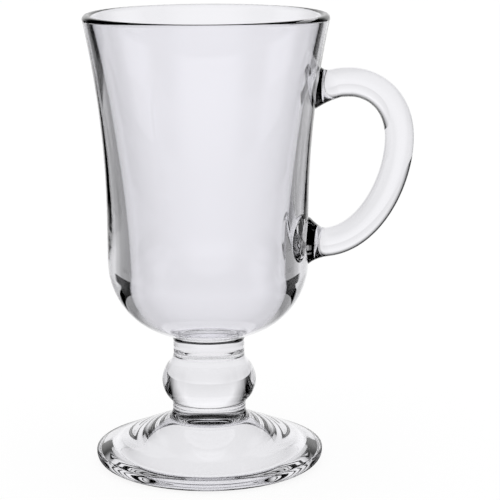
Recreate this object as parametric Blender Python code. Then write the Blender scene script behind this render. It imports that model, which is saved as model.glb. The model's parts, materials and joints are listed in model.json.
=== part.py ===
"""Footed clear-glass mug for hot drinks: bowl, neck, knop, foot and one looped handle.

Metres, +Z up. The mug stands on z = 0 with its handle towards +X, and the origin is the middle of
its footprint. Every turned piece is a profile of tangent arcs and lines in the XZ plane, spun around
the mug's own upright axis.
"""

import math

import bmesh
import bpy
from mathutils import Vector
from mathutils.geometry import interpolate_bezier

# Foot: a narrow resting ring round a bell-shaped hollow, a rounded edge and a low cone up to the stem's waist
FOOT_RADIUS = 0.0369
FOOT_EDGE_HEIGHT = 0.0044
FOOT_LOWER_ROUND = 0.0033
FOOT_UPPER_ROUND = 0.0008
FOOT_CONE_HEIGHT = 0.0106
FOOT_FILLET = 0.0033
REST_RING_WIDTH = 0.0022
HOLLOW_EDGE_ROUND = 0.0104
HOLLOW_CROWN_GLASS = 0.0042

# Stem: a waist over the foot, a round knop, and a neck under the bowl
WAIST_RADIUS = 0.0119
WAIST_STRAIGHT = 0.00145
WAIST_FILLET = 0.0030
KNOP_RADIUS = 0.01525
KNOP_ROUND = 0.0086
KNOP_FILLET = 0.0050
NECK_RADIUS = 0.0115
NECK_STRAIGHT = 0.0035
NECK_FILLET = 0.0035

# Bowl outside: a round bottom, a short straight wall, and a slow flare up to a thin round lip
WALL_RADIUS = 0.03225
BOWL_ROUND = 0.0242
WALL_STRAIGHT = 0.0135
FLARE_HEIGHT = 0.06415
LIP_CENTRE_RADIUS = 0.03755
LIP_ROUND = 0.0014

# Bowl inside: a round-bottomed cavity that flares all the way up, so that the wall thins evenly to the lip;
# the draft is how far the inside leans outwards, per unit of height, where its flare starts
BASE_THICKNESS = 0.0018
LOWER_WALL = 0.0069
CAVITY_DRAFT = 0.055
CAVITY_CORNER = 0.0175

# Handle: an oval rod that leaves the upper wall, loops outwards and comes back to the lower wall
ROD_THICKNESS = 0.0093
ROD_WIDTH = 0.0102
UPPER_ROOT_BELOW_LIP = 0.02225
ROOT_SPACING = 0.0491
CREST_RISE = 0.0018
CREST_REACH = 0.0130
LOOP_REACH = 0.0290
LOOP_BELOW_CREST = 0.0179
UPPER_ROOT_FLARE = 0.0022
LOWER_ROOT_FLARE = 0.0034
ROOT_FLARE_LENGTH = 0.0060
ROOT_EMBED = 0.0008

# Pulls of the handle's curve at its knots: how far each tangent reaches
UPPER_ROOT_PULL = (0.0077, 0.0012)
CREST_PULL_IN = 0.0053
CREST_PULL_OUT = 0.0077
LOOP_PULL_UP = 0.0120
LOOP_PULL_DOWN = 0.0164
LOWER_ROOT_PULL = (0.0174, -0.0052)

# Clearance between pieces that are fused together
SEAM_GAP = 0.0003

# Fineness of the mesh
TURN_STEPS = 48
ARC_STEP = math.radians(15.0)
FLARE_STEPS = 6
ROD_SIDES = 16
ROD_STEPS = 12
MERGE_DISTANCE = 0.00001
SHARP_ANGLE = math.radians(40.0)

# Clear glass, with the faint cool grey that it shows on a white ground
GLASS_COLOUR = (0.94, 0.94, 0.96, 1.0)
GLASS_ROUGHNESS = 0.02
GLASS_IOR = 1.52


def arc(centre, radius, start, end, steps=None):
    """Points on a circle in the XZ plane from angle start to angle end, both ends included."""
    count = steps or max(2, math.ceil(abs(end - start) / ARC_STEP))
    angles = [start + (end - start) * i / count for i in range(count + 1)]
    return [Vector((centre[0] + radius * math.cos(a), centre[1] + radius * math.sin(a))) for a in angles]


def rounded_corner(before, corner, after, radius):
    """The arc that rounds a corner between two straight lines."""
    to_before = (before - corner).normalized()
    to_after = (after - corner).normalized()
    half_angle = to_before.angle(to_after) / 2.0
    tangent_length = radius / math.tan(half_angle)
    centre = corner + (to_before + to_after).normalized() * (radius / math.sin(half_angle))
    first = corner + to_before * tangent_length - centre
    last = corner + to_after * tangent_length - centre
    start = math.atan2(first.y, first.x)
    turn = math.atan2(first.cross(last), first.dot(last))
    return arc(centre, radius, start, start + turn)


def fillet_rise(line_radius, fillet, circle_centre, circle_radius):
    """Height between a circle's centre and that of the fillet joining it to an upright line."""
    reach = circle_radius + fillet
    offset = line_radius + fillet - circle_centre
    return math.sqrt(reach * reach - offset * offset)


# Heights of the outside, stacked from the foot upwards
FOOT_SHOULDER = FOOT_EDGE_HEIGHT + FOOT_CONE_HEIGHT
FOOT_SLOPE = math.atan2(FOOT_CONE_HEIGHT, FOOT_RADIUS - WAIST_RADIUS)
FOOT_FILLET_TOP = FOOT_SHOULDER + FOOT_FILLET * math.tan((math.pi / 2.0 - FOOT_SLOPE) / 2.0)
KNOP_CENTRE_RADIUS = KNOP_RADIUS - KNOP_ROUND
WAIST_RISE = fillet_rise(WAIST_RADIUS, WAIST_FILLET, KNOP_CENTRE_RADIUS, KNOP_ROUND)
NECK_RISE = fillet_rise(NECK_RADIUS, KNOP_FILLET, KNOP_CENTRE_RADIUS, KNOP_ROUND)
BOWL_CENTRE_RADIUS = WALL_RADIUS - BOWL_ROUND
BOWL_RISE = fillet_rise(NECK_RADIUS, NECK_FILLET, BOWL_CENTRE_RADIUS, BOWL_ROUND)
WAIST_TOP = FOOT_FILLET_TOP + WAIST_STRAIGHT
KNOP_HEIGHT = WAIST_TOP + WAIST_RISE
NECK_BOTTOM = KNOP_HEIGHT + NECK_RISE
NECK_TOP = NECK_BOTTOM + NECK_STRAIGHT
BOWL_CENTRE_HEIGHT = NECK_TOP + BOWL_RISE
FLARE_START = BOWL_CENTRE_HEIGHT + WALL_STRAIGHT
LIP_HEIGHT = FLARE_START + FLARE_HEIGHT

# Flat seams where the pieces are fused, each at the end of a fillet
FOOT_SEAM = KNOP_HEIGHT - WAIST_RISE * KNOP_ROUND / (KNOP_ROUND + WAIST_FILLET)
KNOP_SEAM = KNOP_HEIGHT + NECK_RISE * KNOP_ROUND / (KNOP_ROUND + KNOP_FILLET)
BOWL_SEAM = BOWL_CENTRE_HEIGHT - BOWL_RISE * BOWL_ROUND / (BOWL_ROUND + NECK_FILLET)

# The hollow under the foot: part of a sphere whose centre lies below the resting ring
REST_RING_INNER = FOOT_RADIUS - FOOT_LOWER_ROUND - REST_RING_WIDTH
HOLLOW_CROWN = FOOT_SEAM - HOLLOW_CROWN_GLASS
HOLLOW_REACH = (REST_RING_INNER ** 2 + HOLLOW_CROWN ** 2) / (2.0 * HOLLOW_CROWN)
HOLLOW_ROUND = HOLLOW_REACH - HOLLOW_EDGE_ROUND
HOLLOW_DEPTH = HOLLOW_ROUND - HOLLOW_CROWN

# How far the handle reaches out, and the step from the mug's axis to the middle of its footprint
HANDLE_REACH = WALL_RADIUS + LOOP_REACH + ROD_THICKNESS / 2.0
AXIS_OFFSET = (HANDLE_REACH - LIP_CENTRE_RADIUS - LIP_ROUND) / 2.0


def stem_fillet(line_radius, fillet, height, circle_centre, circle_height):
    """The fillet from an upright line to a circle, from the line's end to the circle."""
    centre = Vector((line_radius + fillet, height))
    towards = Vector((circle_centre, circle_height)) - centre
    end = math.atan2(towards.y, towards.x)
    if end < 0.0:
        end += 2.0 * math.pi
    return arc(centre, fillet, math.pi, end)


def outer_profile():
    """The outside of the whole mug, from the resting ring's inner edge up to the top of its lip."""
    ring = Vector((REST_RING_INNER, 0.0))
    edge_bottom = Vector((FOOT_RADIUS, 0.0))
    edge_top = Vector((FOOT_RADIUS, FOOT_EDGE_HEIGHT))
    shoulder = Vector((WAIST_RADIUS, FOOT_SHOULDER))
    waist_top = Vector((WAIST_RADIUS, WAIST_TOP))

    points = [ring]
    points += rounded_corner(ring, edge_bottom, edge_top, FOOT_LOWER_ROUND)
    points += rounded_corner(edge_bottom, edge_top, shoulder, FOOT_UPPER_ROUND)
    points += rounded_corner(edge_top, shoulder, waist_top, FOOT_FILLET)

    waist = stem_fillet(WAIST_RADIUS, WAIST_FILLET, WAIST_TOP, KNOP_CENTRE_RADIUS, KNOP_HEIGHT)
    neck = stem_fillet(NECK_RADIUS, KNOP_FILLET, NECK_BOTTOM, KNOP_CENTRE_RADIUS, KNOP_HEIGHT)
    under_bowl = stem_fillet(NECK_RADIUS, NECK_FILLET, NECK_TOP, BOWL_CENTRE_RADIUS, BOWL_CENTRE_HEIGHT)
    knop_centre = Vector((KNOP_CENTRE_RADIUS, KNOP_HEIGHT))
    knop_start = waist[-1] - knop_centre
    knop_end = neck[-1] - knop_centre
    points += waist
    points += arc(knop_centre, KNOP_ROUND, math.atan2(knop_start.y, knop_start.x),
                  math.atan2(knop_end.y, knop_end.x))
    points += reversed(neck)
    points += under_bowl

    bowl_centre = Vector((BOWL_CENTRE_RADIUS, BOWL_CENTRE_HEIGHT))
    bowl_start = under_bowl[-1] - bowl_centre
    points += arc(bowl_centre, BOWL_ROUND, math.atan2(bowl_start.y, bowl_start.x), 0.0)

    widening = LIP_CENTRE_RADIUS - WALL_RADIUS
    flare_radius = (widening ** 2 + FLARE_HEIGHT ** 2 - LIP_ROUND ** 2) / (2.0 * (widening + LIP_ROUND))
    flare_centre = Vector((WALL_RADIUS + flare_radius, FLARE_START))
    lip_centre = Vector((LIP_CENTRE_RADIUS, LIP_HEIGHT))
    to_lip = lip_centre - flare_centre
    flare_end = math.atan2(to_lip.y, to_lip.x)
    points += arc(flare_centre, flare_radius, math.pi, flare_end, FLARE_STEPS)
    points += arc(lip_centre, LIP_ROUND, flare_end - math.pi, math.pi / 2.0)
    return spaced(points)


def hollow_profile():
    """The hollow under the foot, from the resting ring's inner edge up to the hollow's crown."""
    edge_centre = Vector((REST_RING_INNER, HOLLOW_EDGE_ROUND))
    centre = Vector((0.0, -HOLLOW_DEPTH))
    outwards = edge_centre - centre
    rim = math.atan2(outwards.y, outwards.x)
    points = arc(edge_centre, HOLLOW_EDGE_ROUND, -math.pi / 2.0, rim - math.pi)
    points += arc(centre, HOLLOW_ROUND, rim, math.pi / 2.0)
    return spaced(points)


def cavity_profile():
    """The inside of the bowl, from the middle of its floor up to the top of the lip."""
    floor = BOWL_SEAM + BASE_THICKNESS
    lip_centre = Vector((LIP_CENTRE_RADIUS, LIP_HEIGHT))
    lower = Vector((WALL_RADIUS - LOWER_WALL, BOWL_CENTRE_HEIGHT))
    draft = Vector((CAVITY_DRAFT, 1.0)).normalized()
    outwards = Vector((draft.y, -draft.x))
    corner = lower - draft * ((lower.y - floor) / draft.y)
    points = [Vector((0.0, floor))]
    points += rounded_corner(points[0], corner, lower, CAVITY_CORNER)

    from_lip = lower - lip_centre
    flare_radius = (LIP_ROUND ** 2 - from_lip.length_squared) / (2.0 * (from_lip.dot(outwards) + LIP_ROUND))
    flare_centre = lower + outwards * flare_radius
    start = math.atan2(-outwards.y, -outwards.x) % (2.0 * math.pi)
    inwards = (lip_centre - flare_centre) * math.copysign(1.0, flare_radius)
    end = math.atan2(inwards.y, inwards.x) % (2.0 * math.pi)
    points += arc(flare_centre, flare_radius, start, end, FLARE_STEPS)
    points += arc(lip_centre, LIP_ROUND, end, math.pi / 2.0)
    return spaced(points)


def spaced(points):
    """The points without those that repeat the one before them."""
    kept = [points[0]]
    for point in points[1:]:
        if (point - kept[-1]).length > 10.0 * MERGE_DISTANCE:
            kept.append(point)
    return kept


def between(profile, low, high):
    """The stretch of a rising profile between two heights, cut square at both ends."""
    stretch = []
    for start, end in zip(profile, profile[1:]):
        for height in (low, high):
            if (start.y - height) * (end.y - height) < 0.0:
                share = (height - start.y) / (end.y - start.y)
                stretch.append(start.lerp(end, share))
        if low <= end.y <= high:
            stretch.append(end)
    return spaced(stretch)


def wall_radius(height):
    """The outside radius of the mug at a height."""
    for start, end in zip(OUTSIDE, OUTSIDE[1:]):
        if start.y <= height <= end.y and end.y > start.y:
            return start.lerp(end, (height - start.y) / (end.y - start.y)).x
    return OUTSIDE[-1].x


def glass(name):
    """A clear glass material."""
    material = bpy.data.materials.new(name)
    material.use_nodes = True
    shader = material.node_tree.nodes["Principled BSDF"]
    shader.inputs["Base Color"].default_value = GLASS_COLOUR
    shader.inputs["Metallic"].default_value = 0.0
    shader.inputs["Roughness"].default_value = GLASS_ROUGHNESS
    shader.inputs["IOR"].default_value = GLASS_IOR
    shader.inputs["Transmission Weight"].default_value = 1.0
    return material


def add_object(name, mesh):
    """A named, smooth-shaded object for a mesh, parented to the mug's empty."""
    mesh.shade_smooth()
    mesh.set_sharp_from_angle(angle=SHARP_ANGLE)
    piece = bpy.data.objects.new(name, mesh)
    bpy.context.scene.collection.objects.link(piece)
    piece.parent = MUG
    return piece


def turned(name, profile):
    """A solid spun around Z from a profile that runs down its outer side."""
    mesh = bpy.data.meshes.new(name)
    vertices = [(point.x, 0.0, point.y) for point in profile]
    edges = [(i, i + 1) for i in range(len(vertices) - 1)]
    mesh.from_pydata(vertices, edges, [])
    piece = add_object(name, mesh)
    spin = piece.modifiers.new("spin", "SCREW")
    spin.axis = "Z"
    spin.angle = 2.0 * math.pi
    spin.steps = TURN_STEPS
    spin.render_steps = TURN_STEPS
    spin.use_merge_vertices = True
    spin.merge_threshold = MERGE_DISTANCE
    spin.use_smooth_shade = True
    return piece


def stem_piece(name, low, high):
    """A solid piece of the stem between two heights of the outside."""
    side = between(OUTSIDE, low, high)
    profile = [Vector((0.0, high))] + side[::-1] + [Vector((0.0, low))]
    return turned(name, spaced(profile))


def make_bowl():
    outside = between(OUTSIDE, BOWL_SEAM, OUTSIDE[-1].y)
    profile = cavity_profile() + outside[::-1] + [Vector((0.0, BOWL_SEAM))]
    bowl = turned("bowl", spaced(profile))
    bowl.data.materials.append(glass("bowl_glass"))


def make_neck():
    neck = stem_piece("neck", KNOP_SEAM, BOWL_SEAM - SEAM_GAP)
    neck.data.materials.append(glass("neck_glass"))


def make_knop():
    knop = stem_piece("knop", FOOT_SEAM, KNOP_SEAM - SEAM_GAP)
    knop.data.materials.append(glass("knop_glass"))


def make_foot():
    top = FOOT_SEAM - SEAM_GAP
    outside = between(OUTSIDE, 0.0, top)
    profile = [Vector((0.0, top))] + outside[::-1] + hollow_profile()
    foot = turned("foot", spaced(profile))
    foot.data.materials.append(glass("foot_glass"))


def handle_path():
    """Points along the middle of the handle's rod, from the upper root to the lower one."""
    upper_height = LIP_HEIGHT - UPPER_ROOT_BELOW_LIP
    lower_height = upper_height - ROOT_SPACING
    upper_root = Vector((wall_radius(upper_height) - ROOT_EMBED, 0.0, upper_height))
    lower_root = Vector((wall_radius(lower_height) - ROOT_EMBED, 0.0, lower_height))
    crest = Vector((WALL_RADIUS + CREST_REACH, 0.0, upper_height + CREST_RISE))
    loop = Vector((WALL_RADIUS + LOOP_REACH, 0.0, crest.z - LOOP_BELOW_CREST))

    across = Vector((1.0, 0.0, 0.0))
    upwards = Vector((0.0, 0.0, 1.0))
    upper_pull = upper_root + across * UPPER_ROOT_PULL[0] + upwards * UPPER_ROOT_PULL[1]
    lower_pull = lower_root + across * LOWER_ROOT_PULL[0] + upwards * LOWER_ROOT_PULL[1]
    spans = [
        (upper_root, upper_pull, crest - across * CREST_PULL_IN, crest),
        (crest, crest + across * CREST_PULL_OUT, loop + upwards * LOOP_PULL_UP, loop),
        (loop, loop - upwards * LOOP_PULL_DOWN, lower_pull, lower_root),
    ]
    path = [upper_root]
    for span in spans:
        path += interpolate_bezier(*span, ROD_STEPS + 1)[1:]
    return path


def root_flare(distance, flare):
    """How far the rod swells at a distance from the wall."""
    share = max(0.0, 1.0 - distance / ROOT_FLARE_LENGTH)
    return flare * min(share, 1.0) ** 2


def make_handle():
    path = handle_path()
    mesh = bpy.data.meshes.new("handle")
    build = bmesh.new()
    rings = []
    for i, point in enumerate(path):
        before = path[max(i - 1, 0)]
        after = path[min(i + 1, len(path) - 1)]
        along = (after - before).normalized()
        across = Vector((0.0, 1.0, 0.0))
        outwards = along.cross(across)
        wall = wall_radius(point.z)
        flare = UPPER_ROOT_FLARE if i < len(path) / 2 else LOWER_ROOT_FLARE
        swell = root_flare(point.x - wall, flare)
        lean = max(0.0, 1.0 - (point.x - wall + ROOT_EMBED) / ROOT_FLARE_LENGTH)
        ring = []
        for k in range(ROD_SIDES):
            angle = 2.0 * math.pi * k / ROD_SIDES
            thick = outwards * math.cos(angle) * (ROD_THICKNESS / 2.0 + swell)
            wide = across * math.sin(angle) * (ROD_WIDTH / 2.0 + swell)
            place = point + thick + wide
            facing_wall = math.sqrt(wall_radius(place.z) ** 2 - place.y ** 2)
            place.x += lean * (facing_wall - wall - thick.x)
            ring.append(build.verts.new(place))
        rings.append(ring)
    for first, second in zip(rings, rings[1:]):
        for k in range(ROD_SIDES):
            following = (k + 1) % ROD_SIDES
            build.faces.new((first[k], first[following], second[following], second[k]))
    build.faces.new(rings[0][::-1])
    build.faces.new(rings[-1])
    bmesh.ops.recalc_face_normals(build, faces=build.faces)
    build.to_mesh(mesh)
    build.free()
    handle = add_object("handle", mesh)
    handle.data.materials.append(glass("handle_glass"))

    side = between(OUTSIDE, BOWL_SEAM, OUTSIDE[-1].y)
    grown = [point + Vector((SEAM_GAP, 0.0)) for point in side[::-1]]
    cutter = turned("wall_cutter", [Vector((0.0, grown[0].y))] + grown + [Vector((0.0, grown[-1].y))])
    cutter.hide_render = True
    cutter.display_type = "WIRE"
    cut = handle.modifiers.new("cut_to_wall", "BOOLEAN")
    cut.operation = "DIFFERENCE"
    cut.solver = "EXACT"
    cut.object = cutter


for old in list(bpy.data.objects):
    bpy.data.objects.remove(old, do_unlink=True)

OUTSIDE = outer_profile()
MUG = bpy.data.objects.new("mug", None)
MUG.location.x = -AXIS_OFFSET
bpy.context.scene.collection.objects.link(MUG)

make_bowl()
make_neck()
make_knop()
make_foot()
make_handle()
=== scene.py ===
"""Looks of the footed glass mug: fine fused glass in place of the plain solids, a studio, the camera."""

import json
import math

import bmesh
import bpy
from mathutils import Matrix, Vector
from mathutils.geometry import interpolate_bezier


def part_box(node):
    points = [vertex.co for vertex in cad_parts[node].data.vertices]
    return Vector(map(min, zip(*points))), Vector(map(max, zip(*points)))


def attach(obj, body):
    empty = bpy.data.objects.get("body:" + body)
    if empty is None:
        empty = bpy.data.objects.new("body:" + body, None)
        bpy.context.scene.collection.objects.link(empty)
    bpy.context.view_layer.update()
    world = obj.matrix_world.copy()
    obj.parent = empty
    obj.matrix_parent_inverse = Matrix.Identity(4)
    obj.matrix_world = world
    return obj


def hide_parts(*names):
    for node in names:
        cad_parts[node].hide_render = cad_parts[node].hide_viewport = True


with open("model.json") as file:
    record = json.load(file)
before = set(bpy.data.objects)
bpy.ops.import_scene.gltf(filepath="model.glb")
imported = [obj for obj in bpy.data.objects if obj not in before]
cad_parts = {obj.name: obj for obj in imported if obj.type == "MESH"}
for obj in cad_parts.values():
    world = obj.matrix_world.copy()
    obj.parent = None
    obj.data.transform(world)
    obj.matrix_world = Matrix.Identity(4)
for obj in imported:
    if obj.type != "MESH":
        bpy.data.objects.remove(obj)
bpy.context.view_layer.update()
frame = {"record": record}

FOOT_LOW, FOOT_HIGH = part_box("foot")
AXIS_X = (FOOT_LOW.x + FOOT_HIGH.x) / 2.0

# Foot
FOOT_RADIUS = 0.0369
FOOT_EDGE_HEIGHT = 0.0044
FOOT_LOWER_ROUND = 0.0033
FOOT_UPPER_ROUND = 0.0008
FOOT_CONE_HEIGHT = 0.0106
FOOT_FILLET = 0.0033
REST_RING_WIDTH = 0.0022
HOLLOW_EDGE_ROUND = 0.0104
HOLLOW_CROWN_GLASS = 0.0042

# Stem
WAIST_RADIUS = 0.0119
WAIST_STRAIGHT = 0.00145
WAIST_FILLET = 0.0030
KNOP_RADIUS = 0.01525
KNOP_ROUND = 0.0086
KNOP_FILLET = 0.0050
NECK_RADIUS = 0.0115
NECK_STRAIGHT = 0.0035
NECK_FILLET = 0.0035

# Bowl outside
WALL_RADIUS = 0.03225
BOWL_ROUND = 0.0242
WALL_STRAIGHT = 0.0135
FLARE_HEIGHT = 0.06415
LIP_CENTRE_RADIUS = 0.03755
LIP_ROUND = 0.0014

# Bowl inside
BASE_THICKNESS = 0.0018
LOWER_WALL = 0.0069
CAVITY_DRAFT = 0.055
CAVITY_CORNER = 0.0175

# Handle
ROD_THICKNESS = 0.0093
ROD_WIDTH = 0.0102
UPPER_ROOT_BELOW_LIP = 0.02225
ROOT_SPACING = 0.0491
CREST_RISE = 0.0018
CREST_REACH = 0.0130
LOOP_REACH = 0.0290
LOOP_BELOW_CREST = 0.0179
UPPER_ROOT_FLARE = 0.0022
LOWER_ROOT_FLARE = 0.0034
ROOT_FLARE_LENGTH = 0.0060
ROOT_EMBED = 0.0008
UPPER_ROOT_PULL = (0.0077, 0.0012)
CREST_PULL_IN = 0.0053
CREST_PULL_OUT = 0.0077
LOOP_PULL_UP = 0.0120
LOOP_PULL_DOWN = 0.0164
LOWER_ROOT_PULL = (0.0174, -0.0052)

# Fineness of the glass
TURN_STEPS = 480
ARC_STEP = math.radians(3.0)
PROFILE_STEP = 0.0009
ROD_SIDES = 48
ROD_STEPS = 44
SAME_POINT = 0.00001

# Glass
GLASS_TINT = (0.968, 0.964, 0.992, 1.0)
GLASS_STREAK = (0.956, 0.953, 0.984, 1.0)
GLASS_IOR = 1.52
STREAK_SCALE = (60.0, 60.0, 14.0)
STREAK_NOISE = (1.0, 2.0)
RIPPLE_NOISE = (45.0, 1.0)
RIPPLE_DEPTH = 0.00004
POLISH_NOISE = (130.0, 3.0)
POLISH_SPAN = (0.45, 0.75)
POLISH_ROUGHNESS = (0.0, 0.02)

# Studio
FLOOR_RADIUS = 4.0
FLOOR_SIDES = 96
FLOOR_COLOUR = (0.9, 0.9, 0.9, 1.0)
FLOOR_GLOW = 0.9
FLOOR_GAP = 0.0002
LAMP_SPREAD = math.radians(100.0)
LAMP_STRENGTH = 3.7

# The studio as the glass shows it, which is not the white that the camera sees: a dark room with soft oval
# lights behind, in front and at the sides; each oval is (half width, half height) at a distance of 1
LIGHT_TURN = math.radians(3.0)
LONG_OVAL = (1.0, 0.8)
SIDE_OVAL = (0.42, 0.5)
OVAL_EDGE = (0.55, 1.12)
OVAL_GLOW = (0.86, 1.0)
OVAL_RISE = 0.3

# How bright the floor is in the glass, as (degrees from straight behind, share): painted shade on the floor,
# seen only in glass, in place of a dark room round the mug; straight through, after mirroring in a wall, and
# after mirroring where the floor is further out than BESIDE_START
FLOOR_SHARES = ((0.0, 1.0), (20.0, 0.92), (55.0, 0.84), (90.0, 0.86), (180.0, 0.9))
MIRRORED_SHARES = ((0.0, 1.0), (24.0, 0.95), (36.0, 0.6), (48.0, 0.38), (64.0, 0.36), (90.0, 0.3),
                   (135.0, 0.6), (180.0, 0.8))
BESIDE_SHARES = ((0.0, 1.0), (22.0, 0.95), (31.0, 0.0), (75.0, 0.0), (130.0, 0.5), (180.0, 0.8))
BESIDE_START = (0.43, 0.455)
# Painted shade as well: MIRRORED_BACK darkens mirrored light that does not come from behind the mug,
# NEAR_FLOOR to FAR_FLOOR darkens the floor near the mug, EVEN_DISTANCE keeps it full right round the foot,
# REFLECTIONS_SEEN darkens light that has mirrored often
MIRRORED_BACK = (0.74, 0.92)
NEAR_FLOOR = 0.91
FAR_FLOOR = 0.98
FAR_DISTANCE = 0.6
EVEN_DISTANCE = (0.05, 0.16)
REFLECTIONS_SEEN = (5.0, 12.0)

# Camera: where it stands seen from the mug's axis on the floor, and how it is turned
CAMERA_BACK = 0.5997
CAMERA_HEIGHT = 0.1975
CAMERA_PITCH = math.radians(-12.04)
CAMERA_YAW = math.radians(1.29)
CAMERA_ROLL = math.radians(-0.23)
SENSOR_WIDTH = 36.0
FOCAL_PIXELS = 1904.0
IMAGE_PIXELS = 500.0

# Light paths
MOST_BOUNCES = 32
MIRROR_BOUNCES = 16

GLASS_SLOT, SEAM_SLOT, HANDLE_SLOT = 0, 1, 2


def arc(centre, radius, start, end):
    """Points on a circle in the XZ plane from angle start to angle end, both ends included."""
    turn = abs(end - start)
    count = max(math.ceil(turn / ARC_STEP), math.ceil(turn * abs(radius) / PROFILE_STEP), 2)
    angles = [start + (end - start) * i / count for i in range(count + 1)]
    return [Vector((centre[0] + radius * math.cos(a), centre[1] + radius * math.sin(a))) for a in angles]


def rounded_corner(before, corner, after, radius):
    """The arc that rounds a corner between two straight lines."""
    to_before = (before - corner).normalized()
    to_after = (after - corner).normalized()
    half_angle = to_before.angle(to_after) / 2.0
    tangent_length = radius / math.tan(half_angle)
    centre = corner + (to_before + to_after).normalized() * (radius / math.sin(half_angle))
    first = corner + to_before * tangent_length - centre
    last = corner + to_after * tangent_length - centre
    start = math.atan2(first.y, first.x)
    turn = math.atan2(first.cross(last), first.dot(last))
    return arc(centre, radius, start, start + turn)


def fillet_rise(line_radius, fillet, circle_centre, circle_radius):
    """Height between a circle's centre and that of the fillet joining it to an upright line."""
    reach = circle_radius + fillet
    offset = line_radius + fillet - circle_centre
    return math.sqrt(reach * reach - offset * offset)


# Heights of the outside, stacked from the foot upwards
FOOT_SHOULDER = FOOT_EDGE_HEIGHT + FOOT_CONE_HEIGHT
FOOT_SLOPE = math.atan2(FOOT_CONE_HEIGHT, FOOT_RADIUS - WAIST_RADIUS)
FOOT_FILLET_TOP = FOOT_SHOULDER + FOOT_FILLET * math.tan((math.pi / 2.0 - FOOT_SLOPE) / 2.0)
KNOP_CENTRE_RADIUS = KNOP_RADIUS - KNOP_ROUND
WAIST_RISE = fillet_rise(WAIST_RADIUS, WAIST_FILLET, KNOP_CENTRE_RADIUS, KNOP_ROUND)
NECK_RISE = fillet_rise(NECK_RADIUS, KNOP_FILLET, KNOP_CENTRE_RADIUS, KNOP_ROUND)
BOWL_CENTRE_RADIUS = WALL_RADIUS - BOWL_ROUND
BOWL_RISE = fillet_rise(NECK_RADIUS, NECK_FILLET, BOWL_CENTRE_RADIUS, BOWL_ROUND)
WAIST_TOP = FOOT_FILLET_TOP + WAIST_STRAIGHT
KNOP_HEIGHT = WAIST_TOP + WAIST_RISE
NECK_BOTTOM = KNOP_HEIGHT + NECK_RISE
NECK_TOP = NECK_BOTTOM + NECK_STRAIGHT
BOWL_CENTRE_HEIGHT = NECK_TOP + BOWL_RISE
FLARE_START = BOWL_CENTRE_HEIGHT + WALL_STRAIGHT
LIP_HEIGHT = FLARE_START + FLARE_HEIGHT

# Fused seams, each at the end of a fillet
FOOT_SEAM = KNOP_HEIGHT - WAIST_RISE * KNOP_ROUND / (KNOP_ROUND + WAIST_FILLET)
KNOP_SEAM = KNOP_HEIGHT + NECK_RISE * KNOP_ROUND / (KNOP_ROUND + KNOP_FILLET)
BOWL_SEAM = BOWL_CENTRE_HEIGHT - BOWL_RISE * BOWL_ROUND / (BOWL_ROUND + NECK_FILLET)

# The hollow under the foot
REST_RING_INNER = FOOT_RADIUS - FOOT_LOWER_ROUND - REST_RING_WIDTH
HOLLOW_CROWN = FOOT_SEAM - HOLLOW_CROWN_GLASS
HOLLOW_REACH = (REST_RING_INNER ** 2 + HOLLOW_CROWN ** 2) / (2.0 * HOLLOW_CROWN)
HOLLOW_ROUND = HOLLOW_REACH - HOLLOW_EDGE_ROUND
HOLLOW_DEPTH = HOLLOW_ROUND - HOLLOW_CROWN


def stem_fillet(line_radius, fillet, height, circle_centre, circle_height):
    """The fillet from an upright line to a circle, from the line's end to the circle."""
    centre = Vector((line_radius + fillet, height))
    towards = Vector((circle_centre, circle_height)) - centre
    end = math.atan2(towards.y, towards.x)
    if end < 0.0:
        end += 2.0 * math.pi
    return arc(centre, fillet, math.pi, end)


def outer_profile():
    """The outside of the whole mug, from the resting ring's inner edge up to the top of its lip."""
    ring = Vector((REST_RING_INNER, 0.0))
    edge_bottom = Vector((FOOT_RADIUS, 0.0))
    edge_top = Vector((FOOT_RADIUS, FOOT_EDGE_HEIGHT))
    shoulder = Vector((WAIST_RADIUS, FOOT_SHOULDER))
    waist_top = Vector((WAIST_RADIUS, WAIST_TOP))

    points = [ring]
    points += rounded_corner(ring, edge_bottom, edge_top, FOOT_LOWER_ROUND)
    points += rounded_corner(edge_bottom, edge_top, shoulder, FOOT_UPPER_ROUND)
    points += rounded_corner(edge_top, shoulder, waist_top, FOOT_FILLET)

    waist = stem_fillet(WAIST_RADIUS, WAIST_FILLET, WAIST_TOP, KNOP_CENTRE_RADIUS, KNOP_HEIGHT)
    neck = stem_fillet(NECK_RADIUS, KNOP_FILLET, NECK_BOTTOM, KNOP_CENTRE_RADIUS, KNOP_HEIGHT)
    under_bowl = stem_fillet(NECK_RADIUS, NECK_FILLET, NECK_TOP, BOWL_CENTRE_RADIUS, BOWL_CENTRE_HEIGHT)
    knop_centre = Vector((KNOP_CENTRE_RADIUS, KNOP_HEIGHT))
    knop_start = waist[-1] - knop_centre
    knop_end = neck[-1] - knop_centre
    points += waist
    points += arc(knop_centre, KNOP_ROUND, math.atan2(knop_start.y, knop_start.x),
                  math.atan2(knop_end.y, knop_end.x))
    points += reversed(neck)
    points += under_bowl

    bowl_centre = Vector((BOWL_CENTRE_RADIUS, BOWL_CENTRE_HEIGHT))
    bowl_start = under_bowl[-1] - bowl_centre
    points += arc(bowl_centre, BOWL_ROUND, math.atan2(bowl_start.y, bowl_start.x), 0.0)

    widening = LIP_CENTRE_RADIUS - WALL_RADIUS
    flare_radius = (widening ** 2 + FLARE_HEIGHT ** 2 - LIP_ROUND ** 2) / (2.0 * (widening + LIP_ROUND))
    flare_centre = Vector((WALL_RADIUS + flare_radius, FLARE_START))
    lip_centre = Vector((LIP_CENTRE_RADIUS, LIP_HEIGHT))
    to_lip = lip_centre - flare_centre
    flare_end = math.atan2(to_lip.y, to_lip.x)
    points += arc(flare_centre, flare_radius, math.pi, flare_end)
    points += arc(lip_centre, LIP_ROUND, flare_end - math.pi, math.pi / 2.0)
    return filled(points)


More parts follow.
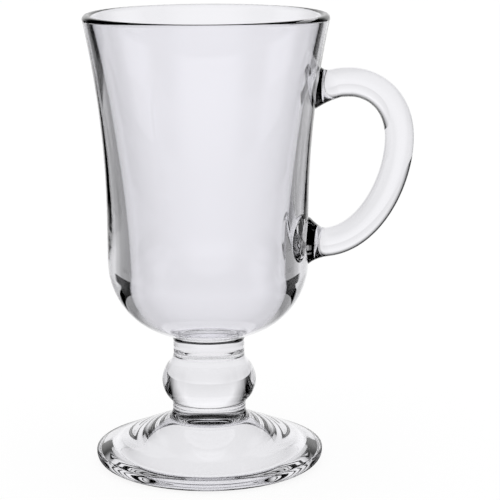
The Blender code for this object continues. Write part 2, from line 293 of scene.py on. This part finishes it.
def hollow_profile():
    """The hollow under the foot, from the resting ring's inner edge up to the hollow's crown."""
    edge_centre = Vector((REST_RING_INNER, HOLLOW_EDGE_ROUND))
    centre = Vector((0.0, -HOLLOW_DEPTH))
    outwards = edge_centre - centre
    rim = math.atan2(outwards.y, outwards.x)
    points = arc(edge_centre, HOLLOW_EDGE_ROUND, -math.pi / 2.0, rim - math.pi)
    points += arc(centre, HOLLOW_ROUND, rim, math.pi / 2.0)
    return filled(points)


def cavity_profile():
    """The inside of the bowl, from the middle of its floor up to the top of the lip."""
    floor = BOWL_SEAM + BASE_THICKNESS
    lip_centre = Vector((LIP_CENTRE_RADIUS, LIP_HEIGHT))
    lower = Vector((WALL_RADIUS - LOWER_WALL, BOWL_CENTRE_HEIGHT))
    draft = Vector((CAVITY_DRAFT, 1.0)).normalized()
    outwards = Vector((draft.y, -draft.x))
    corner = lower - draft * ((lower.y - floor) / draft.y)
    points = [Vector((0.0, floor))]
    points += rounded_corner(points[0], corner, lower, CAVITY_CORNER)

    from_lip = lower - lip_centre
    flare_radius = (LIP_ROUND ** 2 - from_lip.length_squared) / (2.0 * (from_lip.dot(outwards) + LIP_ROUND))
    flare_centre = lower + outwards * flare_radius
    start = math.atan2(-outwards.y, -outwards.x) % (2.0 * math.pi)
    inwards = (lip_centre - flare_centre) * math.copysign(1.0, flare_radius)
    end = math.atan2(inwards.y, inwards.x) % (2.0 * math.pi)
    points += arc(flare_centre, flare_radius, start, end)
    points += arc(lip_centre, LIP_ROUND, end, math.pi / 2.0)
    return filled(points)


def filled(points):
    """The points without repeats, and with more of them on long straight runs."""
    kept = [points[0]]
    for point in points[1:]:
        last = kept[-1]
        length = (point - last).length
        if length > SAME_POINT:
            count = math.ceil(length / PROFILE_STEP)
            kept += [last.lerp(point, i / count) for i in range(1, count + 1)]
    return kept


def between(profile, low, high):
    """The stretch of a rising profile between two heights, cut square at both ends."""
    stretch = []
    for start, end in zip(profile, profile[1:]):
        for height in (low, high):
            if (start.y - height) * (end.y - height) < 0.0:
                share = (height - start.y) / (end.y - start.y)
                stretch.append(start.lerp(end, share))
        if low <= end.y <= high:
            stretch.append(end)
    return stretch


def wall_radius(height):
    """The outside radius of the mug at a height."""
    for start, end in zip(OUTSIDE, OUTSIDE[1:]):
        if start.y <= height <= end.y and end.y > start.y:
            return start.lerp(end, (height - start.y) / (end.y - start.y)).x
    return OUTSIDE[-1].x


def turned(profile, seams):
    """A mesh spun from a profile that starts and ends on the axis; its runs at a seam's height are seams."""
    build = bmesh.new()
    columns = []
    ends = {0: build.verts.new((AXIS_X, 0.0, profile[0].y)),
            len(profile) - 1: build.verts.new((AXIS_X, 0.0, profile[-1].y))}
    for k in range(TURN_STEPS):
        angle = 2.0 * math.pi * k / TURN_STEPS
        column = []
        for i, point in enumerate(profile):
            place = (AXIS_X + point.x * math.cos(angle), point.x * math.sin(angle), point.y)
            column.append(ends[i] if i in ends else build.verts.new(place))
        columns.append(column)
    for k, column in enumerate(columns):
        following = columns[(k + 1) % TURN_STEPS]
        for i in range(len(profile) - 1):
            corners = [column[i], column[i + 1], following[i + 1], following[i]]
            face = build.faces.new(list(dict.fromkeys(corners)))
            at_seam = any(abs(profile[i].y - seam) < SAME_POINT for seam in seams)
            level = abs(profile[i].y - profile[i + 1].y) < SAME_POINT
            face.material_index = SEAM_SLOT if at_seam and level else GLASS_SLOT
    bmesh.ops.recalc_face_normals(build, faces=build.faces)
    return build


def finish_piece(name, build, slot):
    """A smooth glass piece in place of the plain solid of the same name."""
    for face in build.faces:
        face.smooth = True
    for edge in build.edges:
        edge.smooth = len({face.material_index for face in edge.link_faces}) == 1
    mesh = bpy.data.meshes.new(name)
    build.to_mesh(mesh)
    build.free()
    mesh.materials.append(GLASS[slot])
    mesh.materials.append(FUSED_SEAM)
    piece = bpy.data.objects.new("glass_" + name, mesh)
    bpy.context.scene.collection.objects.link(piece)
    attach(piece, "root")
    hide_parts(name)


def stem_piece(name, low, high):
    """A solid piece of the stem between two seams."""
    side = between(OUTSIDE, low, high)
    profile = [Vector((0.0, high))] + side[::-1] + [Vector((0.0, low))]
    finish_piece(name, turned(profile, (low, high)), name + "_glass")


def make_foot():
    outside = between(OUTSIDE, 0.0, FOOT_SEAM)
    profile = [Vector((0.0, FOOT_SEAM))] + outside[::-1] + hollow_profile()
    finish_piece("foot", turned(profile, (FOOT_SEAM,)), "foot_glass")


def handle_path():
    """Points along the middle of the handle's rod, from the upper root to the lower one."""
    upper_height = LIP_HEIGHT - UPPER_ROOT_BELOW_LIP
    lower_height = upper_height - ROOT_SPACING
    upper_root = Vector((wall_radius(upper_height) - ROOT_EMBED, 0.0, upper_height))
    lower_root = Vector((wall_radius(lower_height) - ROOT_EMBED, 0.0, lower_height))
    crest = Vector((WALL_RADIUS + CREST_REACH, 0.0, upper_height + CREST_RISE))
    loop = Vector((WALL_RADIUS + LOOP_REACH, 0.0, crest.z - LOOP_BELOW_CREST))

    across = Vector((1.0, 0.0, 0.0))
    upwards = Vector((0.0, 0.0, 1.0))
    upper_pull = upper_root + across * UPPER_ROOT_PULL[0] + upwards * UPPER_ROOT_PULL[1]
    lower_pull = lower_root + across * LOWER_ROOT_PULL[0] + upwards * LOWER_ROOT_PULL[1]
    spans = [
        (upper_root, upper_pull, crest - across * CREST_PULL_IN, crest),
        (crest, crest + across * CREST_PULL_OUT, loop + upwards * LOOP_PULL_UP, loop),
        (loop, loop - upwards * LOOP_PULL_DOWN, lower_pull, lower_root),
    ]
    path = [upper_root]
    for span in spans:
        path += interpolate_bezier(*span, ROD_STEPS + 1)[1:]
    return path


def root_flare(distance, flare):
    """How far the rod swells at a distance from the wall."""
    share = max(0.0, 1.0 - distance / ROOT_FLARE_LENGTH)
    return flare * min(share, 1.0) ** 2


def handle_rod():
    """The handle's rod, whose ends are buried in the bowl's wall."""
    path = handle_path()
    build = bmesh.new()
    rings = []
    for i, point in enumerate(path):
        along = (path[min(i + 1, len(path) - 1)] - path[max(i - 1, 0)]).normalized()
        across = Vector((0.0, 1.0, 0.0))
        outwards = along.cross(across)
        flare = UPPER_ROOT_FLARE if i < len(path) / 2 else LOWER_ROOT_FLARE
        wall = wall_radius(point.z)
        swell = root_flare(point.x - wall, flare)
        lean = max(0.0, 1.0 - (point.x - wall + ROOT_EMBED) / ROOT_FLARE_LENGTH)
        ring = []
        for k in range(ROD_SIDES):
            angle = 2.0 * math.pi * k / ROD_SIDES
            thick = outwards * math.cos(angle) * (ROD_THICKNESS / 2.0 + swell)
            wide = across * math.sin(angle) * (ROD_WIDTH / 2.0 + swell)
            place = point + thick + wide
            facing_wall = math.sqrt(wall_radius(place.z) ** 2 - place.y ** 2)
            place.x += lean * (facing_wall - wall - thick.x) + AXIS_X
            ring.append(build.verts.new(place))
        rings.append(ring)
    for first, second in zip(rings, rings[1:]):
        for k in range(ROD_SIDES):
            following = (k + 1) % ROD_SIDES
            build.faces.new((first[k], first[following], second[following], second[k]))
    build.faces.new(rings[0][::-1])
    build.faces.new(rings[-1])
    bmesh.ops.recalc_face_normals(build, faces=build.faces)
    return build


def scratch_object(build, material_index=None):
    """A helper object for the union of bowl and handle."""
    mesh = bpy.data.meshes.new("scratch")
    if material_index is not None:
        for face in build.faces:
            face.material_index = material_index
    build.to_mesh(mesh)
    build.free()
    for material in (GLASS["bowl_glass"], FUSED_SEAM, GLASS["handle_glass"]):
        mesh.materials.append(material)
    helper = bpy.data.objects.new("scratch", mesh)
    bpy.context.scene.collection.objects.link(helper)
    return helper


def make_bowl_and_handle():
    """Bowl and handle fused where the roots meet the wall, then parted along that seam."""
    outside = between(OUTSIDE, BOWL_SEAM, OUTSIDE[-1].y)
    profile = cavity_profile() + outside[-2::-1] + [Vector((0.0, BOWL_SEAM))]
    bowl = scratch_object(turned(profile, (BOWL_SEAM,)))
    rod = scratch_object(handle_rod(), HANDLE_SLOT)
    union = bowl.modifiers.new("fuse", "BOOLEAN")
    union.operation = "UNION"
    union.solver = "EXACT"
    union.material_mode = "INDEX"
    union.object = rod
    graph = bpy.context.evaluated_depsgraph_get()
    fused = bpy.data.meshes.new_from_object(bowl.evaluated_get(graph))
    for helper in (bowl, rod):
        bpy.data.objects.remove(helper, do_unlink=True)
    for name, of_handle in (("bowl", False), ("handle", True)):
        build = bmesh.new()
        build.from_mesh(fused)
        others = [face for face in build.faces if (face.material_index == HANDLE_SLOT) != of_handle]
        bmesh.ops.delete(build, geom=others, context="FACES")
        close_roots(build)
        for face in build.faces:
            if face.material_index == HANDLE_SLOT:
                face.material_index = GLASS_SLOT
        finish_piece(name, build, name + "_glass")


def close_roots(build):
    """Fills each open root with seam faces round its middle."""
    open_edges = {edge for edge in build.edges if edge.is_boundary}
    while open_edges:
        first = open_edges.pop()
        loop = [first]
        corners = set(first.verts)
        grown = True
        while grown:
            touching = [edge for edge in open_edges if corners & set(edge.verts)]
            grown = bool(touching)
            for edge in touching:
                open_edges.discard(edge)
                loop.append(edge)
                corners |= set(edge.verts)
        middle = build.verts.new(sum((vert.co for vert in corners), Vector()) / len(corners))
        for edge in loop:
            face = build.faces.new((*edge.verts, middle))
            face.material_index = SEAM_SLOT
    bmesh.ops.recalc_face_normals(build, faces=build.faces)


def glass(name):
    """Clear pressed glass: a little rippled by its mould, and not quite even in tint and polish."""
    material = bpy.data.materials.new(name)
    material.use_nodes = True
    tree = material.node_tree
    shader = tree.nodes["Principled BSDF"]
    shader.inputs["IOR"].default_value = GLASS_IOR
    shader.inputs["Transmission Weight"].default_value = 1.0
    place = tree.nodes.new("ShaderNodeTexCoord").outputs["Object"]

    stretched = linked(tree, "ShaderNodeMapping", (place, None, None, STREAK_SCALE)).outputs["Vector"]
    streaks = linked(tree, "ShaderNodeTexNoise", (stretched, None, *STREAK_NOISE)).outputs[0]
    tint = linked(tree, "ShaderNodeMix", (streaks,), data_type="RGBA")
    colours = [socket for socket in tint.inputs if socket.type == "RGBA"]
    colours[0].default_value = GLASS_TINT
    colours[1].default_value = GLASS_STREAK
    result = [socket for socket in tint.outputs if socket.type == "RGBA"]
    tree.links.new(result[0], shader.inputs["Base Color"])

    polish = linked(tree, "ShaderNodeTexNoise", (place, None, *POLISH_NOISE)).outputs[0]
    tree.links.new(spread(tree, polish, *POLISH_SPAN, *POLISH_ROUGHNESS), shader.inputs["Roughness"])

    ripple = linked(tree, "ShaderNodeTexNoise", (place, None, *RIPPLE_NOISE)).outputs[0]
    bump = tree.nodes.new("ShaderNodeBump")
    bump.inputs["Distance"].default_value = RIPPLE_DEPTH
    tree.links.new(ripple, bump.inputs["Height"])
    tree.links.new(bump.outputs["Normal"], shader.inputs["Normal"])
    return material


def fused_seam():
    """Where two pieces are fused nothing shows."""
    material = bpy.data.materials.new("fused_seam")
    material.use_nodes = True
    tree = material.node_tree
    tree.nodes.clear()
    output = tree.nodes.new("ShaderNodeOutputMaterial")
    clear = tree.nodes.new("ShaderNodeBsdfTransparent")
    tree.links.new(clear.outputs["BSDF"], output.inputs["Surface"])
    return material


def linked(tree, kind, inputs, **settings):
    """A new node whose first inputs are linked to the given sockets or set to the given values."""
    node = tree.nodes.new(kind)
    for name, value in settings.items():
        setattr(node, name, value)
    for socket, value in zip(node.inputs, inputs):
        if isinstance(value, bpy.types.NodeSocket):
            tree.links.new(value, socket)
        elif value is not None:
            socket.default_value = value
    return node


def maths(tree, operation, *values):
    """The result of one sum on sockets or numbers."""
    return linked(tree, "ShaderNodeMath", values, operation=operation).outputs["Value"]


def spread(tree, value, low, high, at_low, at_high):
    """A value carried evenly from one span to another."""
    return linked(tree, "ShaderNodeMapRange", (value, low, high, at_low, at_high)).outputs["Result"]


def mixed(tree, share, first, second):
    """A value between two others."""
    return linked(tree, "ShaderNodeMix", (share, None, first, second)).outputs["Result"]


def facing(tree, vector):
    """A direction's parts to the right of, behind and above the mug."""
    turned_light = linked(tree, "ShaderNodeVectorRotate", (vector, None, (0.0, 0.0, 1.0), LIGHT_TURN))
    return linked(tree, "ShaderNodeSeparateXYZ", turned_light.outputs[:1]).outputs


def oval(tree, forward, aside, up, half_size):
    """A soft oval light, brighter towards its top, at both ends of the forward line."""
    across = maths(tree, "DIVIDE", maths(tree, "DIVIDE", aside, forward), half_size[0])
    rise = maths(tree, "DIVIDE", up, maths(tree, "ABSOLUTE", forward))
    upright = maths(tree, "DIVIDE", rise, half_size[1])
    across_square = maths(tree, "MULTIPLY", across, across)
    upright_square = maths(tree, "MULTIPLY", upright, upright)
    square = maths(tree, "ADD", across_square, upright_square)
    inside = spread(tree, maths(tree, "SQRT", square), *OVAL_EDGE, 1.0, 0.0)
    return maths(tree, "MULTIPLY", inside, spread(tree, rise, 0.0, OVAL_RISE, *OVAL_GLOW))


def floor_share(tree, cosine, shares):
    """How bright the floor is at an angle from straight behind the mug."""
    node = linked(tree, "ShaderNodeValToRGB", (spread(tree, cosine, -1.0, 1.0, 0.0, 1.0),))
    ramp = node.color_ramp
    ramp.interpolation = "EASE"
    stops = [((1.0 + math.cos(math.radians(angle))) / 2.0, share) for angle, share in reversed(shares)]
    while len(ramp.elements) < len(stops):
        ramp.elements.new(0.5)
    for element, (position, share) in zip(ramp.elements, stops):
        element.position = position
        element.color = (share, share, share, 1.0)
    return node.outputs["Color"]


def as_seen(tree, shade, backwards):
    """White to the camera; in glass the shade, with painted shade where it mirrors the front or has mirrored
    often.
    """
    path = tree.nodes.new("ShaderNodeLightPath")
    often = spread(tree, path.outputs["Glossy Depth"], *REFLECTIONS_SEEN, 1.0, 0.0)
    through = maths(tree, "MULTIPLY", shade, often)
    mirrored = maths(tree, "MULTIPLY", through, spread(tree, backwards, *MIRRORED_BACK, 0.0, 1.0))
    in_glass = mixed(tree, path.outputs["Is Reflection Ray"], through, mirrored)
    return mixed(tree, path.outputs["Is Camera Ray"], in_glass, 1.0)


def seen_rays(tree):
    """How much of the floor's own glow a ray shows: most to the camera, for the shadow, and all in glass."""
    path = tree.nodes.new("ShaderNodeLightPath")
    total = maths(tree, "MULTIPLY", path.outputs["Is Camera Ray"], FLOOR_GLOW)
    for name in ("Is Glossy Ray", "Is Transmission Ray"):
        total = maths(tree, "MAXIMUM", total, path.outputs[name])
    return total


def make_floor():
    """The floor: white with the mug's shadow to the camera, and painted shade by direction, distance and
    reflections in the glass.
    """
    build = bmesh.new()
    bmesh.ops.create_circle(build, cap_ends=True, segments=FLOOR_SIDES, radius=FLOOR_RADIUS)
    mesh = bpy.data.meshes.new("floor")
    build.to_mesh(mesh)
    build.free()
    material = bpy.data.materials.new("floor_white_painted_shade")
    material.use_nodes = True
    tree = material.node_tree
    tree.nodes.clear()
    place = tree.nodes.new("ShaderNodeTexCoord").outputs["Object"]
    axis = (AXIS_X, 0.0, 0.0)
    from_axis = linked(tree, "ShaderNodeVectorMath", (place, axis), operation="SUBTRACT").outputs[0]
    distance = linked(tree, "ShaderNodeVectorMath", (from_axis,), operation="LENGTH").outputs["Value"]
    backwards = maths(tree, "DIVIDE", facing(tree, from_axis)["Y"], distance)
    evenness = spread(tree, distance, *EVEN_DISTANCE, 0.0, 1.0)
    beside = spread(tree, distance, *BESIDE_START, 0.0, 1.0)
    # Painted shade: the floor's glow in the glass is darkened by direction from the mug, by distance and by
    # how often the ray has mirrored
    through, near, far = [floor_share(tree, backwards, shares)
                          for shares in (FLOOR_SHARES, MIRRORED_SHARES, BESIDE_SHARES)]
    mirrored = mixed(tree, beside, near, far)
    times = tree.nodes.new("ShaderNodeLightPath").outputs["Glossy Depth"]
    share = mixed(tree, maths(tree, "MINIMUM", times, 1.0), through, mirrored)
    share = mixed(tree, evenness, 1.0, share)
    shade = maths(tree, "MULTIPLY", share, spread(tree, distance, 0.0, FAR_DISTANCE, NEAR_FLOOR, FAR_FLOOR))
    glow = linked(tree, "ShaderNodeEmission", (as_seen(tree, shade, backwards), 1.0)).outputs["Emission"]
    diffuse = linked(tree, "ShaderNodeBsdfDiffuse", (FLOOR_COLOUR,)).outputs["BSDF"]
    mix = linked(tree, "ShaderNodeMixShader", (seen_rays(tree), diffuse, glow)).outputs["Shader"]
    linked(tree, "ShaderNodeOutputMaterial", (mix,))
    mesh.materials.append(material)
    floor = bpy.data.objects.new("floor", mesh)
    floor.location.z = -FLOOR_GAP
    bpy.context.scene.collection.objects.link(floor)


def make_world():
    """Soft oval lights in a dark room, as the glass shows it; white where the camera looks past the floor."""
    world = bpy.data.worlds.new("studio")
    bpy.context.scene.world = world
    world.use_nodes = True
    tree = world.node_tree
    tree.nodes.clear()
    aside, forward, up = facing(tree, tree.nodes.new("ShaderNodeTexCoord").outputs["Generated"])
    long_lights = oval(tree, forward, aside, up, LONG_OVAL)
    side_lights = oval(tree, aside, forward, up, SIDE_OVAL)
    # Painted shade: the world's light is darkened where a ray mirrors the front or has mirrored often
    shade = as_seen(tree, maths(tree, "MAXIMUM", long_lights, side_lights), forward)
    background = linked(tree, "ShaderNodeBackground", (shade, 1.0)).outputs["Background"]
    linked(tree, "ShaderNodeOutputWorld", (background,))


def make_lamp():
    """A wide soft lamp overhead, for the floor and its shadow; the glass does not show it."""
    lamp = bpy.data.lights.new("overhead", "SUN")
    lamp.angle = LAMP_SPREAD
    lamp.energy = LAMP_STRENGTH
    lamp_object = bpy.data.objects.new("overhead", lamp)
    lamp_object.visible_camera = False
    lamp_object.visible_glossy = False
    lamp_object.visible_transmission = False
    bpy.context.scene.collection.objects.link(lamp_object)


def make_camera():
    camera = bpy.data.cameras.new("camera")
    camera.sensor_width = SENSOR_WIDTH
    camera.lens = FOCAL_PIXELS / IMAGE_PIXELS * SENSOR_WIDTH
    camera_object = bpy.data.objects.new("camera", camera)
    upright = Matrix.Rotation(math.pi / 2.0 + CAMERA_PITCH, 4, "X")
    turned_away = Matrix.Rotation(-CAMERA_YAW, 4, "Z") @ upright @ Matrix.Rotation(CAMERA_ROLL, 4, "Z")
    place = Vector((AXIS_X, -CAMERA_BACK, CAMERA_HEIGHT))
    camera_object.matrix_world = Matrix.Translation(place) @ turned_away
    bpy.context.scene.collection.objects.link(camera_object)
    bpy.context.scene.camera = camera_object


GLASS = {entry["slot"]: glass(entry["slot"]) for entry in frame["record"]["materials"]}
FUSED_SEAM = fused_seam()
OUTSIDE = outer_profile()

make_bowl_and_handle()
stem_piece("neck", KNOP_SEAM, BOWL_SEAM)
stem_piece("knop", FOOT_SEAM, KNOP_SEAM)
make_foot()
make_floor()
make_world()
make_lamp()
make_camera()

scene = bpy.context.scene
scene.view_settings.view_transform = "Standard"
scene.cycles.max_bounces = MOST_BOUNCES
scene.cycles.transmission_bounces = MOST_BOUNCES
scene.cycles.glossy_bounces = MIRROR_BOUNCES
scene.cycles.transparent_max_bounces = MOST_BOUNCES
